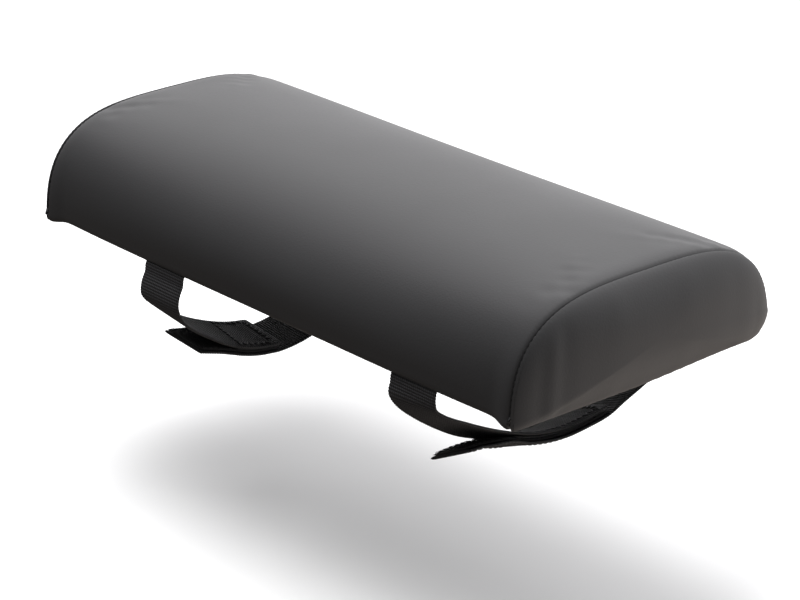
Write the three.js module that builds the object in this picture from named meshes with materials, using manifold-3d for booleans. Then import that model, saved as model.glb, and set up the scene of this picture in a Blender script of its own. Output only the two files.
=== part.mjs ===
// A strap-on armrest pad: a long D-shaped cushion in a sewn cover, held to the
// armrest by two loops of webbing that close with hook-and-loop tape.
// Millimetres. +X runs along the pad, +Y across it, +Z up. The origin is the
// centre of the flat underside, where the pad rests on the armrest.
import * as THREE from 'three';
import { LoftGeometry } from 'three/addons/geometries/LoftGeometry.js';
import { mergeVertices } from 'three/addons/utils/BufferGeometryUtils.js';
import Module from 'manifold-3d';

const wasm = await Module();
wasm.setup();

// ---- driving dimensions ----
const LENGTH = 280;          // between the two end seams
const WIDTH = 125;           // next to the seams; the stuffing swells it in between ...
const BELLY = 1.9;           // ... by this much on each side
const HEIGHT = 43;           // underside to the top of the crown
const FLANK_POWER = 3.3;     // how square the D section is across ...
const CROWN_POWER = 2.65;    // ... and upwards (2 would be an ellipse)
const GAP = 0.3;             // clearance between neighbouring pieces

const SKIN = 1.2;            // cover material
const HEM_Z = 1.1;           // underside of the cover's turned-under hem
const HEM_REACH = 7.5;       // flat width of the hem
const TUCK_Z = 4.5;          // the flank starts to curl under here
const TUCK_Y = 4;

// The stitches draw the cover in at each end, by pull on each side and drop at
// the crown; it is back at its own size in two steps from the seam.
const SEAM = { pull: 0.7, drop: 1.2, steps: [[0, 1], [2, 0.4], [6, 0]] };
const END_BULGE = 7.5;       // how far an end panel stands out past its seam
const DOME_Z = 18;           // height of the middle of an end panel
const DOME_RINGS = [0, 0.3, 0.6, 0.82, 0.94, 1];

const CLOTH = { x: 139.2, y: 57.5, thick: 0.8, corner: 7 };
const BOARD = { x: 136, y: 57, z: 2.6, thick: 2.5, corner: 8 };
const FOAM_SPLIT_Z = 27;     // firm foam below, soft topper above
const FOAM_INSET = SKIN + 2 * GAP;
const FOAM_FOOT = 3;         // the firm foam's lower corner is cut off by this much
// the foam narrows into the end panels: distance from the middle, share of its size
const FOAM_ENDS = [[133, 1], [138.6, 0.97], [141.3, 0.84]];

const WEB = { wide: 25, thick: 1.2 };
const TAPE = { wide: 23, thick: 0.6 };
const SEWN = 0.2;            // a sewn-on tape lies this far off its webbing
// centre to centre of the two webbings where their tapes grip each other
const LAP = WEB.thick + 2 * (SEWN + TAPE.thick) + 1.6 * GAP;
const TAPE_OFFSET = (WEB.thick + TAPE.thick) / 2 + SEWN;
const TAPE_END = { hook: [0.02, 0.99], loop: 0.01, tab: 0.004 };   // shares of the strap left bare

// each webbing comes out from under the cover and turns down here
const STUB = { inner: 42, turn: 58.6, z: 1.7, radius: 2.5, tail: 0.8, bends: 5 };
const SLOT = { inner: 43.4, outer: 61.4, tall: 2.2, z: 1.6 };     // notch in the hem for it
const TAB_GAP = 1.7;         // between a lower strap and its pull tab
const BEND_STEP = 2.5;       // the straps' facets are this long
const LAP_STATIONS = 6;      // where the lower half copies the upper one's path

// Each loop: [x, y, z, roll] down the middle of the webbing. The upper half
// starts at the -Y edge; the lower half is given from the lap to the +Y edge,
// and its pull tab from the tip to the lap. Roll lifts the +X edge, in degrees.
const LOOPS = {
  front: {
    x: 88.4,
    upper: [[0, -61.4, -3.4, 0], [0, -64.2, -7.2, 5], [0, -61.5, -11.6, 8], [0, -49, -19.3, 15],
      [0, -31, -29, 21], [0, -14, -34.8, 21], [0, 3, -36.2, 20], [0, 21, -33.4, 18]],
    lapFrom: 0.6,
    tab: [[0, -46, -32.8, 26], [0, -38, -32.8, 24]],
    lower: [[0, 33, -33, 14], [0, 47, -25.5, 8], [0, 59, -15.6, 3], [0, 63.6, -8.6, 0],
      [0, 61.4, -3.4, 0]],
  },
  rear: {
    x: -59.9,
    upper: [[0, -61.4, -3.4, 0], [0, -65.2, -7.2, 0], [0, -66.3, -12.2, 0], [0, -62.2, -18.4, -5],
      [0, -49.5, -27.6, -7], [0, -38.5, -33.2, -9], [0, -27, -36.8, -8], [0, -17.5, -38.2, -6]],
    lapFrom: 0.7,
    tab: [[0, -56.5, -31.6, -4], [0, -48.5, -33.6, -6]],
    lower: [[0, -7, -40.4, -5], [0, 6, -36.8, -4], [0, 25, -29, -2], [0, 45, -21, 0],
      [0, 59, -14.6, 0], [0, 63.8, -8.6, 0], [0, 61.4, -3.4, 0]],
  },
};

const FINISH = {
  leather: { color: 0x3b3b3f, roughness: 0.55, metalness: 0 },
  cloth: { color: 0x222224, roughness: 0.9, metalness: 0 },
  foam: { color: 0xd9c98a, roughness: 0.95, metalness: 0 },
  topper: { color: 0xe8e2d2, roughness: 0.95, metalness: 0 },
  board: { color: 0x6f7478, roughness: 0.6, metalness: 0 },
  webbing: { color: 0x1d1d20, roughness: 0.8, metalness: 0 },
  hook: { color: 0x141416, roughness: 0.7, metalness: 0 },
  loop: { color: 0x17171a, roughness: 1, metalness: 0 },
};

const group = new THREE.Group();

function addMesh(name, geometry, finish) {
  const mesh = new THREE.Mesh(geometry, new THREE.MeshStandardMaterial(FINISH[finish]));
  mesh.name = name;
  group.add(mesh);
}

// ---- the D section ----
// Half of the crown between heights z0 and z1, on a squared-off ellipse: at z1 =
// Infinity it ends at the middle of the top. inset moves the whole curve inwards.
function crownHalf(inset, z0, z1, steps) {
  const halfWidth = WIDTH / 2 - inset;
  const rise = HEIGHT - inset;
  const angleAt = (z) => Math.asin((Math.min(z, rise) / rise) ** (CROWN_POWER / 2));
  const [start, end] = [angleAt(z0), angleAt(z1)];
  return Array.from({ length: steps + 1 }, (_, i) => {
    const angle = start + (end - start) * (i / steps);
    const across = i === steps && z1 > rise ? 0 : Math.cos(angle) ** (2 / FLANK_POWER);
    return new THREE.Vector2(halfWidth * across, rise * Math.sin(angle) ** (2 / CROWN_POWER));
  });
}

// The tuck at a bottom edge, from the flat hem out to the flank.
function tuckHalf(inset, steps) {
  const [a, b] = [TUCK_Y - inset, TUCK_Z - HEM_Z - inset];
  return Array.from({ length: steps }, (_, i) => {
    const angle = (Math.PI / 2) * (i / steps);
    return new THREE.Vector2(WIDTH / 2 - TUCK_Y + a * Math.sin(angle), TUCK_Z - b * Math.cos(angle));
  });
}

// A half outline on +Y and its mirror image on -Y; points on the middle aren't doubled.
function bothSides(half) {
  const left = half.filter((p) => p.x > 0).reverse().map((p) => new THREE.Vector2(-p.x, p.y));
  return [...half, ...left];
}

function wholeOutline(inset) {
  return bothSides([...tuckHalf(inset, 5), ...crownHalf(inset, TUCK_Z, Infinity, 18)]);
}

// How much wider the stuffing makes a section at x.
function swell(x) {
  return 1 + (BELLY / (WIDTH / 2)) * Math.max(0, 1 - (2 * x / LENGTH) ** 4);
}

// An outline drawn in by the seam's stitches; share 1 is right at the seam.
function drawnIn(outline, share) {
  const across = 1 - share * SEAM.pull / (WIDTH / 2);
  const up = 1 - share * SEAM.drop / HEIGHT;
  return outline.map((p) => new THREE.Vector2(p.x * across, p.y * up));
}

// Stations along the pad, from -X to +X, given those of the +X half.
function mirrored(half) {
  return [...half.map(([x, value]) => [-x, value]).reverse(), ...half];
}

// ---- cover ----
// The wrap is one sheet over the top and flanks, with a hem under each edge.
function coverWrap() {
  const hem = WIDTH / 2 - TUCK_Y - HEM_REACH;
  const outer = wholeOutline(0);
  const inner = wholeOutline(SKIN).reverse();
  const ends = (z) => [new THREE.Vector2(-hem, z), new THREE.Vector2(hem, z)];
  const outline = [ends(HEM_Z)[1], ...outer, ends(HEM_Z)[0],
    ends(HEM_Z + SKIN)[0], ...inner, ends(HEM_Z + SKIN)[1]];
  const end = LENGTH / 2 - GAP;
  const nearSeam = SEAM.steps.map(([x, share]) => [end - x, share]).reverse();
  const stations = mirrored([[LENGTH / 8, 0], [LENGTH / 4, 0], [3 * LENGTH / 8, 0], ...nearSeam]);
  const sections = stations.map(([x, share]) => drawnIn(outline, share).map(
    (p) => new THREE.Vector3(x, p.x * swell(x), p.y)));
  const wrap = solid(new LoftGeometry(sections, { capStart: true, capEnd: true }));
  return meshOf(strapSlots().reduce((body, slot) => body.subtract(slot), wrap));
}

// Four notches in the hem, where the webbing comes out.
function strapSlots() {
  const slots = [];
  for (const loop of Object.values(LOOPS)) {
    for (const side of [-1, 1]) {
      const box = new THREE.BoxGeometry(WEB.wide + 2 * GAP, SLOT.outer - SLOT.inner, SLOT.tall);
      box.translate(loop.x, side * (SLOT.outer + SLOT.inner) / 2, SLOT.z);
      slots.push(solid(box));
    }
  }
  return slots;
}

// An end panel closes the D: a sheet, domed like a pillow and sewn all round.
function endPanel(side) {
  const rim = LENGTH / 2;
  const outline = drawnIn(wholeOutline(0), 1);
  const ring = (r, lift) => outline.map((p) => new THREE.Vector3(
    side * (rim + lift + END_BULGE * Math.sqrt(1 - r ** 3)),
    p.x * r,
    DOME_Z + (p.y - DOME_Z) * r,
  ));
  const inner = DOME_RINGS.map((r) => ring(r, 0));
  const outer = DOME_RINGS.map((r) => ring(r, SKIN)).reverse();
  const sections = [...inner, ...outer];
  return new LoftGeometry(side > 0 ? sections : sections.reverse());
}

// ---- inside and underside ----
// A flat sheet with round corners, lying with its underside at z.
function flatSheet({ x, y, thick, corner }, z) {
  const outline = new THREE.Shape();
  outline.moveTo(x, -y + corner);
  outline.absarc(x - corner, y - corner, corner, 0, Math.PI / 2);
  outline.absarc(-x + corner, y - corner, corner, Math.PI / 2, Math.PI);
  outline.absarc(-x + corner, -y + corner, corner, Math.PI, 1.5 * Math.PI);
  outline.absarc(x - corner, -y + corner, corner, 1.5 * Math.PI, 2 * Math.PI);
  const sheet = new THREE.ExtrudeGeometry(outline, { depth: thick, bevelEnabled: false, curveSegments: 5 });
  return sheet.translate(0, 0, z);
}

// A foam block fills the cover between two heights and swells into the end panels.
function foamBlock(half) {
  const outline = bothSides(half);
  const sections = mirrored([[LENGTH / 4, 1], ...FOAM_ENDS]).map(([x, share]) => outline.map(
    (p) => new THREE.Vector3(x, p.x * share * swell(x), DOME_Z + (p.y - DOME_Z) * share)));
  return new LoftGeometry(sections, { capStart: true, capEnd: true });
}

function foamCore() {
  const bottom = BOARD.z + BOARD.thick + GAP;
  const flank = crownHalf(FOAM_INSET, bottom + FOAM_FOOT, FOAM_SPLIT_Z, 7);
  const middle = [new THREE.Vector2(0, FOAM_SPLIT_Z)];
  return foamBlock([new THREE.Vector2(BOARD.y - 1, bottom), ...flank, ...middle]);
}

function foamTopper() {
  const bottom = FOAM_SPLIT_Z + GAP;
  const middle = [new THREE.Vector2(0, bottom)];
  return foamBlock([...middle, ...crownHalf(FOAM_INSET, bottom, Infinity, 14)]);
}

// ---- straps ----
// The middle line and roll of a strap, as two curves read at the same t.
function route(stations, x0) {
  return {
    line: new THREE.CatmullRomCurve3(stations.map(([x, y, z]) => new THREE.Vector3(x0 + x, y, z))),
    roll: new THREE.CatmullRomCurve3(stations.map((s) => new THREE.Vector3(s[3], 0, 0))),
  };
}

// Where a strap is at t: its middle, and its width and thickness directions.
function frameAt({ line, roll }, t) {
  const along = line.getTangent(t);
  const wide = new THREE.Vector3(1, 0, 0).addScaledVector(along, -along.x).normalize();
  const angle = THREE.MathUtils.degToRad(roll.getPoint(t).x);
  wide.applyAxisAngle(along, -angle);
  return { at: line.getPoint(t), along, wide, up: new THREE.Vector3().crossVectors(wide, along) };
}

// A band of webbing or tape between t0 and t1, held offset above the middle line.
// All the bands on one path bend at the same places, so they lie snugly together.
function band(path, t0, t1, { wide, thick }, offset = 0) {
  const cells = Math.round(path.line.getLength() / BEND_STEP);
  const bends = Array.from({ length: cells + 1 }, (_, i) => i / cells);
  const margin = 0.2 / cells;
  const stops = [t0, ...bends.filter((t) => t > t0 + margin && t < t1 - margin), t1];
  const sections = stops.map((t) => {
    const f = frameAt(path, t);
    return [[1, 1], [1, -1], [0, -1], [-1, -1], [-1, 1], [0, 1]].map(([a, b]) => f.at.clone()
      .addScaledVector(f.wide, a * wide / 2)
      .addScaledVector(f.up, offset + b * thick / 2));
  });
  return new LoftGeometry(sections, { capStart: true, capEnd: true });
}

// The sewn-in end of a strap: flat under the board, then turned down at the edge.
function strapStub(x, side) {
  const { inner, turn, z, radius, tail, bends } = STUB;
  const line = [[inner, z, 0], [(inner + turn) / 2, z, 0]];
  for (let i = 0; i <= bends; i++) {
    const angle = (Math.PI / 2) * (i / bends);
    line.push([turn + radius * Math.sin(angle), z - radius + radius * Math.cos(angle), angle]);
  }
  line.push([turn + radius, z - radius - tail, Math.PI / 2]);
  const half = WEB.thick / 2;
  const sections = line.map(([y, height, angle]) => {
    const [outY, outZ] = [Math.sin(angle) * half, Math.cos(angle) * half];
    const corners = [[1, 1], [1, -1], [-1, -1], [-1, 1]];
    return corners.map(([a, b]) => new THREE.Vector3(
      x + a * WEB.wide / 2, side * (y + b * outY), height + b * outZ));
  });
  if (side < 0) sections.reverse();
  return new LoftGeometry(sections, { capStart: true, capEnd: true });
}

// One loop: upper half, lower half with its pull tab, and the tapes that close it.
function strapLoop(name, loop) {
  addMesh(`${name}_upper_strap_end`, strapStub(loop.x, -1), 'webbing');
  addMesh(`${name}_lower_strap_end`, strapStub(loop.x, 1), 'webbing');

  const upper = route(loop.upper, loop.x);
  addMesh(`${name}_upper_strap`, band(upper, 0, 1, WEB), 'webbing');
  const [hookStart, hookEnd] = [loop.lapFrom + TAPE_END.hook[0], TAPE_END.hook[1]];
  addMesh(`${name}_hook_tape`, band(upper, hookStart, hookEnd, TAPE, -TAPE_OFFSET), 'hook');

  // under the lap, the lower half follows the upper one at the lap distance
  const lap = Array.from({ length: LAP_STATIONS }, (_, i) => {
    const t = loop.lapFrom + (1 - loop.lapFrom) * (i / (LAP_STATIONS - 1));
    const f = frameAt(upper, t);
    const p = f.at.addScaledVector(f.up, -LAP);
    return [p.x - loop.x, p.y, p.z, upper.roll.getPoint(t).x];
  });
  const lower = route([...loop.tab, ...lap, ...loop.lower], loop.x);
  const last = loop.tab.length + LAP_STATIONS + loop.lower.length - 1;
  const root = loop.tab.length / last;
  const span = lower.line.getLength();
  const step = TAB_GAP / 2 / span;
  const lapEnd = (loop.tab.length + LAP_STATIONS - 1) / last + TAPE_END.loop;
  addMesh(`${name}_lower_strap`, band(lower, root + step, 1, WEB), 'webbing');
  addMesh(`${name}_loop_tape`, band(lower, root + step, lapEnd, TAPE, TAPE_OFFSET), 'loop');
  addMesh(`${name}_pull_tab`, band(lower, 0, root - step, WEB), 'webbing');
  addMesh(`${name}_tab_tape`, band(lower, TAPE_END.tab, root - step, TAPE, TAPE_OFFSET), 'loop');
}

// ---- manifold solids, for the cuts ----
function solid(geometry) {
  const bare = new THREE.BufferGeometry();
  bare.setAttribute('position', geometry.getAttribute('position'));
  bare.setIndex(geometry.getIndex());
  const merged = mergeVertices(bare, 1e-4);
  return new wasm.Manifold(new wasm.Mesh({
    numProp: 3,
    vertProperties: merged.attributes.position.array,
    triVerts: new Uint32Array(merged.index.array),
  }));
}

function meshOf(body) {
  const { vertProperties, triVerts, numProp } = body.getMesh();
  const geometry = new THREE.BufferGeometry();
  const points = new Float32Array((vertProperties.length / numProp) * 3);
  for (let i = 0; i < points.length; i++) {
    points[i] = vertProperties[Math.floor(i / 3) * numProp + (i % 3)];
  }
  geometry.setAttribute('position', new THREE.BufferAttribute(points, 3));
  geometry.setIndex(new THREE.BufferAttribute(triVerts, 1));
  geometry.computeVertexNormals();
  return geometry;
}

// ---- assembly ----
addMesh('cover_wrap', coverWrap(), 'leather');
addMesh('end_panel_front', endPanel(1), 'leather');
addMesh('end_panel_rear', endPanel(-1), 'leather');
addMesh('base_cloth', flatSheet(CLOTH, 0), 'cloth');
addMesh('stiffener_board', flatSheet(BOARD, BOARD.z), 'board');
addMesh('foam_core', foamCore(), 'foam');
addMesh('foam_topper', foamTopper(), 'topper');
for (const [name, loop] of Object.entries(LOOPS)) strapLoop(name, loop);

export default group;
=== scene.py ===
# %% [markdown]
# # A strap-on armrest pad
# The real pad is a foam block on a stiff board, wrapped in leathercloth that is
# sewn to a domed panel at each end. Two loops of webbing close round the chair's
# armrest with hook-and-loop tape. The solids that move are already packed, so
# this file loads them as a fixed frame and builds the looks round them.

# %% Load the frame
import math

import bmesh
import bpy
import numpy as np
from mathutils import Matrix, Vector


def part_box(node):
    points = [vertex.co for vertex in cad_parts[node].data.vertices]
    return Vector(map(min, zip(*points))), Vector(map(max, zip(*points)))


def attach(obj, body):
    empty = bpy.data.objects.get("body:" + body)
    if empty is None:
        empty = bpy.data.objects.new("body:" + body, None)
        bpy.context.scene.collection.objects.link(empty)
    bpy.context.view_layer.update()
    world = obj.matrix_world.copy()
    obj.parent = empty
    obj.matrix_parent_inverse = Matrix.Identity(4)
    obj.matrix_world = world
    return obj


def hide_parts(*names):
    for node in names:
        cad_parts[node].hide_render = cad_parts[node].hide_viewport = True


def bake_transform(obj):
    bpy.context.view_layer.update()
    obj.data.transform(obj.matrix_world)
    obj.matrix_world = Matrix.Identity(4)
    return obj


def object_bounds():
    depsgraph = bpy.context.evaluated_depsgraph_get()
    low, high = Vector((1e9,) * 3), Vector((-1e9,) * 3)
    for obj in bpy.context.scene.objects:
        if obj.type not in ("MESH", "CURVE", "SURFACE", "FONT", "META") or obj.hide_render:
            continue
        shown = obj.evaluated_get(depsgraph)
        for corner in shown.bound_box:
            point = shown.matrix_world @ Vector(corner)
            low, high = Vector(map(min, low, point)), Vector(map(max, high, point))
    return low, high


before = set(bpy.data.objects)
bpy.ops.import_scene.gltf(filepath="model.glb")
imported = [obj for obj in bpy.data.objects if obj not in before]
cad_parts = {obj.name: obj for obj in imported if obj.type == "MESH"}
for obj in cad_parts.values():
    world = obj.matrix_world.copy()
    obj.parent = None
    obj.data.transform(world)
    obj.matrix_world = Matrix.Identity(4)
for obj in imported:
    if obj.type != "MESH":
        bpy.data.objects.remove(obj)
cad_box = [list(corner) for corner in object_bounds()]
print("nodes:", len(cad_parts))

# %% [markdown]
# ## Camera
# A product picture of a long thing is taken from well back, so that its far end
# isn't small. The lens is long, and the camera looks down by about 21 degrees.
# The direction is turned slightly about the line of sight, as a hand-set tripod is.

# %% Camera
EYE = Vector((0.8650, -0.7082, 0.4370))
LENS, SENSOR = 140.5, 36.0
ROLL = math.radians(-1.173)
# Tangents of the aim's turn: the pad sits a little up and left of the middle
ASIDE, BELOW = 0.003145196, -0.008897509

forward = -EYE.normalized()
level = forward.cross(Vector((0, 0, 1))).normalized()
upright = level.cross(forward)
right = level * math.cos(ROLL) + upright * math.sin(ROLL)
upward = upright * math.cos(ROLL) - level * math.sin(ROLL)
aim = (forward + right * ASIDE + upward * BELOW).normalized()

camera = bpy.data.objects.new("camera", bpy.data.cameras.new("camera"))
bpy.context.scene.collection.objects.link(camera)
bpy.context.scene.camera = camera
across = aim.cross(upward).normalized()
turned = zip(across, across.cross(aim), -aim, EYE)
camera.matrix_world = Matrix([list(row) for row in turned] + [[0, 0, 0, 1]])
camera.data.lens, camera.data.sensor_width = LENS, SENSOR
print("camera stands", round(EYE.length, 3), "m away")

# %% [markdown]
# ## Writing node trees as sums
# Shader and geometry nodes are both graphs. One class wraps a socket, so that
# ordinary arithmetic between sockets adds Math nodes, and one class wraps a tree,
# with a single method that adds any other node.

# %% Node helpers
class Value:
    """A socket that takes part in Python arithmetic."""

    def __init__(self, net, socket):
        self.net, self.socket = net, socket

    def math(self, operation, *others):
        return self.net.maths(operation, self, *others)

    def __add__(self, other):
        return self.math("ADD", other)

    __radd__ = __add__

    def __sub__(self, other):
        return self.math("SUBTRACT", other)

    def __rsub__(self, other):
        return self.net.maths("SUBTRACT", other, self)

    def __mul__(self, other):
        return self.math("MULTIPLY", other)

    __rmul__ = __mul__

    def __truediv__(self, other):
        return self.math("DIVIDE", other)

    def fract(self):
        return self.math("FRACT")

    def over(self, edge):
        return self.math("GREATER_THAN", edge)

    def under(self, edge):
        return self.math("LESS_THAN", edge)

    def bump(self):
        """A rounded rib for each whole step of this value: 0 between ribs, 1 on top."""
        wave = self.fract() * 2 - 1
        return 1 - wave * wave


class Net:
    """A node tree, shader or geometry."""

    def __init__(self, tree):
        self.tree = tree

    def add(self, kind, settings=(), inputs=(), out=0):
        node = self.tree.nodes.new(kind)
        for key, value in dict(settings).items():
            setattr(node, key, value)
        for key, value in dict(inputs).items():
            if isinstance(value, Value):
                self.tree.links.new(value.socket, node.inputs[key])
            else:
                node.inputs[key].default_value = value
        return Value(self, node.outputs[out])

    def maths(self, operation, *values):
        return self.add("ShaderNodeMath", {"operation": operation}, dict(enumerate(values)))


class Finish(Net):
    """A material with one Principled shader; constants go straight on its sockets."""

    def __init__(self, name, **constants):
        self.material = bpy.data.materials.new(name)
        self.material.use_nodes = True
        super().__init__(self.material.node_tree)
        self.shader = self.tree.nodes["Principled BSDF"]
        for key, value in constants.items():
            self.shader.inputs[key.replace("_", " ")].default_value = value

    def feed(self, socket, value):
        self.tree.links.new(value.socket, self.shader.inputs[socket])

    def place(self):
        return self.add("ShaderNodeTexCoord", out="Object")

    def noise(self, scale, detail=2.0, roughness=0.5):
        return self.add("ShaderNodeTexNoise", {}, {"Vector": self.place(), "Scale": scale,
                        "Detail": detail, "Roughness": roughness})

    def cells(self, scale, feature="F1", randomness=1.0):
        return self.add("ShaderNodeTexVoronoi", {"feature": feature},
                        {"Vector": self.place(), "Scale": scale, "Randomness": randomness})

    def attribute(self, name):
        return self.add("ShaderNodeAttribute", {"attribute_name": name}, out="Fac")

    def blend(self, factor, first, second):
        mix = self.add("ShaderNodeMix", {"data_type": "RGBA"}, {0: factor}, out=2)
        for socket, colour in ((6, first), (7, second)):
            if isinstance(colour, Value):
                self.tree.links.new(colour.socket, mix.socket.node.inputs[socket])
            else:
                mix.socket.node.inputs[socket].default_value = (*colour, 1)
        return mix

    def relief(self, height, depth, strength=1.0):
        """A bump of real depth in metres."""
        bump = self.add("ShaderNodeBump", {}, {"Height": height, "Distance": depth,
                        "Strength": strength})
        self.feed("Normal", bump)


# %% [markdown]
# ## Finishes
# The leathercloth is a dull charcoal with a very fine grain, and it carries a few
# specks of lint. Everything under it is nearly black, so those finishes differ by
# texture: ribs on the webbing, fluff on the loop tape, a bonded web on the base.

# %% Leathercloth
def leather_finish():
    f = Finish("charcoal_leathercloth", Roughness=0.5, Specular_IOR_Level=0.5)
    tone = f.noise(18, 3, 0.55)
    fine = f.noise(900, 2, 0.6)
    cloth = f.blend(tone, (0.0245, 0.0240, 0.0250), (0.0320, 0.0315, 0.0325))
    cloth = f.blend(fine * 0.35, cloth, (0.040, 0.0395, 0.041))
    lint = f.cells(62).under(0.018) * f.noise(25, 0).over(0.55)
    f.feed("Base Color", f.blend(lint, cloth, (0.34, 0.34, 0.35)))
    f.feed("Roughness", 0.44 + tone * 0.10 + fine * 0.06)
    pebbles = f.cells(1500, "SMOOTH_F1")
    f.relief(pebbles * 0.7 + fine * 0.5, 0.00010, 0.35)
    return f.material


LEATHER = leather_finish()
print("made", LEATHER.name)


# %% Webbing, tapes and thread
RIB_PITCH, YARN_PITCH, RIB_HEIGHT = 0.00112, 0.00105, 0.00026


def webbing_finish():
    f = Finish("black_webbing", Roughness=0.62, Specular_IOR_Level=0.45)
    along, across = f.attribute("along"), f.attribute("across")
    yarn, rib = (across / YARN_PITCH).bump(), (along / RIB_PITCH).bump()
    twist = f.noise(2600, 2, 0.6)
    # The base colour is painted lighter on the rib tops, a painted highlight where the ribs catch the
    # light, and darker between ribs and yarns, painted shade.
    painted_rib_highlight = yarn * rib * (0.55 + twist * 0.9)
    f.feed("Base Color", f.blend(painted_rib_highlight, (0.006, 0.006, 0.007), (0.050, 0.049, 0.051)))
    f.feed("Roughness", 0.52 + twist * 0.25)
    f.relief(yarn * 0.8 + rib * 0.5 + twist * 0.4, 0.00022, 0.9)
    return f.material


def fluff_finish(name, dark, light):
    f = Finish(name, Roughness=0.85, Specular_IOR_Level=0.3)
    fuzz = f.noise(3200, 3, 0.65)
    f.feed("Base Color", f.blend(fuzz, dark, light))
    f.feed("Roughness", 0.75 + fuzz * 0.2)
    f.relief(fuzz, 0.00020, 0.9)
    return f.material


def thread_finish(name, dark, light):
    f = Finish(name, Roughness=0.55, Specular_IOR_Level=0.5)
    ply = f.noise(5200, 1, 0.5)
    f.feed("Base Color", f.blend(ply, dark, light))
    f.feed("Roughness", 0.45 + ply * 0.2)
    f.relief(ply, 0.00006, 0.6)
    return f.material


WEBBING = webbing_finish()
LOOP_TAPE = fluff_finish("black_loop_tape", (0.010, 0.010, 0.010), (0.075, 0.074, 0.075))
HOOK_TAPE = thread_finish("black_hook_tape", (0.008, 0.008, 0.009), (0.022, 0.022, 0.023))
SEAM_THREAD = thread_finish("black_seam_thread", (0.006, 0.006, 0.006), (0.020, 0.020, 0.020))
GREY_THREAD = thread_finish("grey_strap_thread", (0.014, 0.014, 0.015), (0.050, 0.050, 0.052))
print("made", WEBBING.name, LOOP_TAPE.name, HOOK_TAPE.name)


# %% Base cloth, foams and board
def base_finish():
    f = Finish("black_base_cloth", Roughness=0.85, Specular_IOR_Level=0.3)
    web = f.noise(700, 4, 0.7)
    diamond = f.cells(420, randomness=0.15)
    f.feed("Base Color", f.blend(web, (0.010, 0.010, 0.010), (0.030, 0.029, 0.028)))
    f.feed("Roughness", 0.72 + web * 0.22)
    f.relief(web * 0.5 + diamond, 0.00018, 0.8)
    return f.material


def foam_finish(name, dark, light, pore_scale):
    f = Finish(name, Roughness=0.95, Specular_IOR_Level=0.2)
    pores = f.cells(pore_scale)
    f.feed("Base Color", f.blend(pores, dark, light))
    f.feed("Roughness", 0.86 + f.noise(120) * 0.12)
    f.relief(pores, 0.00040, 0.9)
    return f.material


def board_finish():
    f = Finish("grey_fibre_board", Roughness=0.7, Specular_IOR_Level=0.4)
    fibre = f.noise(420, 5, 0.7)
    f.feed("Base Color", f.blend(fibre, (0.10, 0.105, 0.11), (0.19, 0.195, 0.20)))
    f.feed("Roughness", 0.58 + fibre * 0.25)
    f.relief(fibre, 0.00010, 0.7)
    return f.material


BASE_CLOTH = base_finish()
FIRM_FOAM = foam_finish("tan_firm_foam", (0.42, 0.33, 0.14), (0.74, 0.62, 0.34), 620)
SOFT_FOAM = foam_finish("cream_soft_foam", (0.60, 0.55, 0.44), (0.86, 0.82, 0.72), 480)
BOARD = board_finish()
print("made", BASE_CLOTH.name, FIRM_FOAM.name, SOFT_FOAM.name, BOARD.name)


# %% [markdown]
# ## Mesh helpers
# Most pieces here are grids: rows of points joined by quads. A helper turns a
# numpy array of rows into a mesh, closed round the rows or open, and another
# turns a piece with modifiers into plain mesh, so that nothing live is left on it.

# %% Grids and baking
def new_piece(name, points, faces, material, smooth=True):
    mesh = bpy.data.meshes.new(name)
    mesh.from_pydata([tuple(p) for p in points], [], faces)
    mesh.update()
    if smooth:
        mesh.polygons.foreach_set("use_smooth", [True] * len(mesh.polygons))
    mesh.materials.append(material)
    piece = bpy.data.objects.new(name, mesh)
    bpy.context.scene.collection.objects.link(piece)
    return piece


def grid_faces(rows, columns, closed=False, start=0):
    """Quads over rows x columns points; closed joins each row's last point to its first."""
    spans = columns if closed else columns - 1
    faces = []
    for i in range(rows - 1):
        low, high = start + i * columns, start + (i + 1) * columns
        for j in range(spans):
            k = (j + 1) % columns
            faces.append((low + j, low + k, high + k, high + j))
    return faces


def point_outwards(piece, merge=False):
    """Turns every face outwards, after joining points that lie on each other if asked."""
    work = bmesh.new()
    work.from_mesh(piece.data)
    if merge:
        bmesh.ops.remove_doubles(work, verts=work.verts, dist=1e-7)
    bmesh.ops.recalc_face_normals(work, faces=work.faces)
    work.to_mesh(piece.data)
    work.free()


def bake(piece):
    """Applies every modifier, so that the piece is one plain mesh."""
    deps = bpy.context.evaluated_depsgraph_get()
    mesh = bpy.data.meshes.new_from_object(piece.evaluated_get(deps))
    piece.modifiers.clear()
    piece.data = mesh
    return piece


def give_wall(piece, thickness):
    """Thickens a sheet inwards from its outer face, and bakes it."""
    wall = piece.modifiers.new("wall", "SOLIDIFY")
    wall.thickness, wall.offset = thickness, -1
    return bake(piece)


def smoothstep(x):
    x = np.clip(x, 0, 1)
    return x * x * (3 - 2 * x)


def distance_along(line):
    """How far each point of a polyline lies from its start, measured along it."""
    steps = np.linalg.norm(np.diff(line, axis=0), axis=1)
    return np.concatenate([[0], np.cumsum(steps)])


def read_along(line, run, at):
    """The line's values at distances at, where run is the distance of each of its points."""
    return np.stack([np.interp(at, run, line[:, k]) for k in range(line.shape[1])], axis=-1)


def evenly(line, count):
    """count points spaced evenly along a polyline."""
    run = distance_along(line)
    return read_along(line, run, np.linspace(0, run[-1], count))


# %% [markdown]
# ## The D section
# Cut across, the pad is a D on its back. The crown is a squared-off ellipse, and
# each bottom edge is tucked under into a hem. The stuffing swells the pad between
# its seams. At a seam's foot the cloth is stiff: on the -Y side it is drawn out into
# a nearly square lip that hangs a little, and on the +Y side it stays round.

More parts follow.
